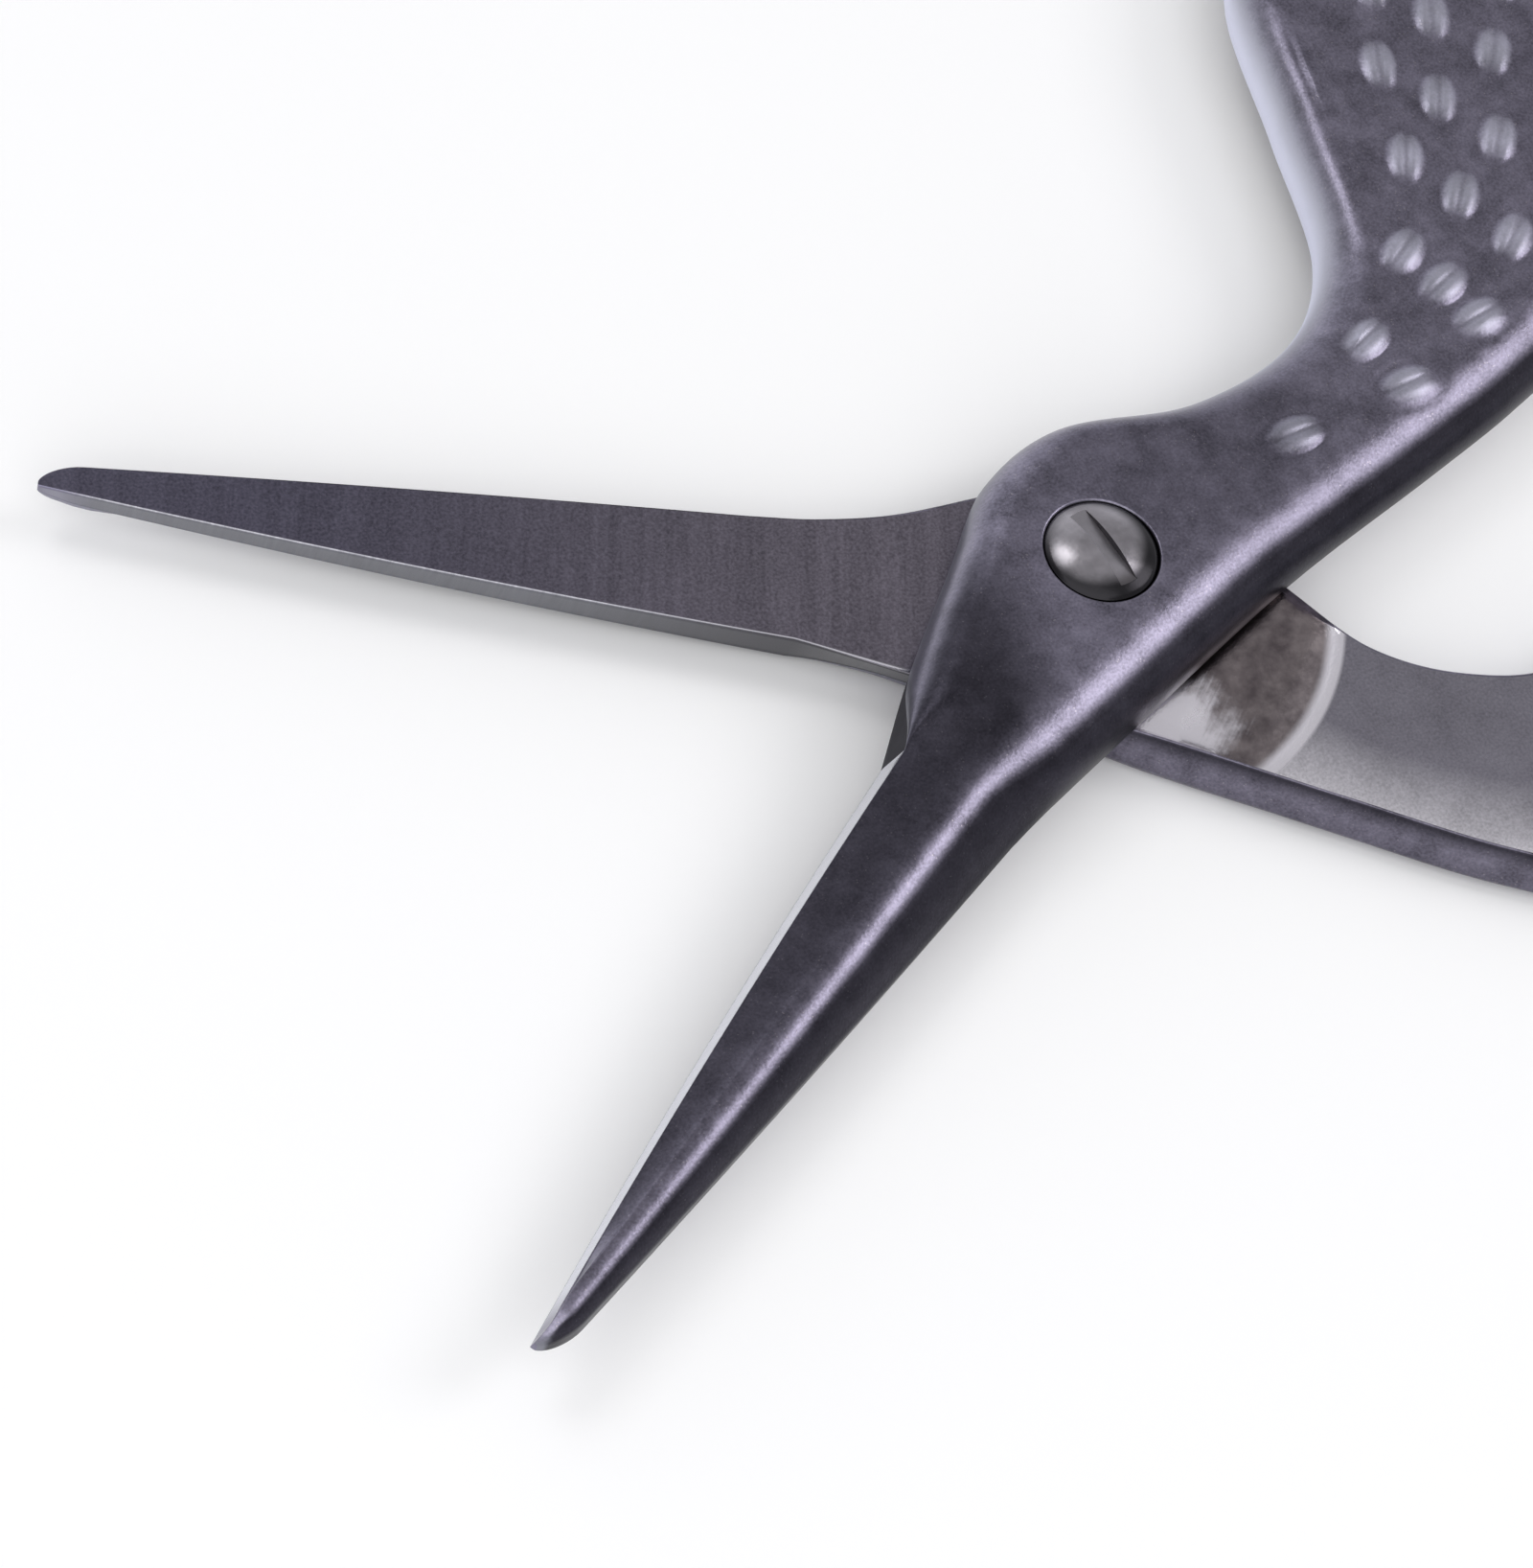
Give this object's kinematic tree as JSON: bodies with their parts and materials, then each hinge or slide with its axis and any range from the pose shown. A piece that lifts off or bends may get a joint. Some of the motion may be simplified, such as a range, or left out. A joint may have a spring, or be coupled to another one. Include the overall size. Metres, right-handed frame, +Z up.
{
  "type": "embroidery scissors",
  "caption": "Small stork-shaped embroidery scissors with beak-like pointed blades, feathered handles and oval finger rings, swinging on a slotted pivot screw.",
  "frame": {"origin": "on the pivot axis, on the plane that the scissors rest on, at the middle of the screw's flush end face", "axes": "+Z up out of the resting plane along the pivot axis; -X from the pivot along the middle line between the two open blades; +Y towards the front half's finger ring"},
  "size_m": [0.0918, 0.102, 0.0055],
  "materials": {
    "blackened_steel": "blackened, satin",
    "screw_steel": "blackened, satin"
  },
  "bodies": {
    "rear": {"rear_half": "blackened_steel"},
    "front": {"front_half": "blackened_steel"},
    "screw": {"pivot_screw": "screw_steel"}
  },
  "joints": [
    {"name": "blade_pivot", "type": "hinge", "parent": "rear", "child": "front", "pos_m": [0, 0, 0.0025], "axis": [0, 0, 1], "range_deg": [-58, 22]},
    {"name": "screw_turn", "type": "hinge", "parent": "rear", "child": "screw", "pos_m": [0, 0, 0.0025], "axis": [0, 0, 1], "range_deg": [-90, 90]}
  ]
}
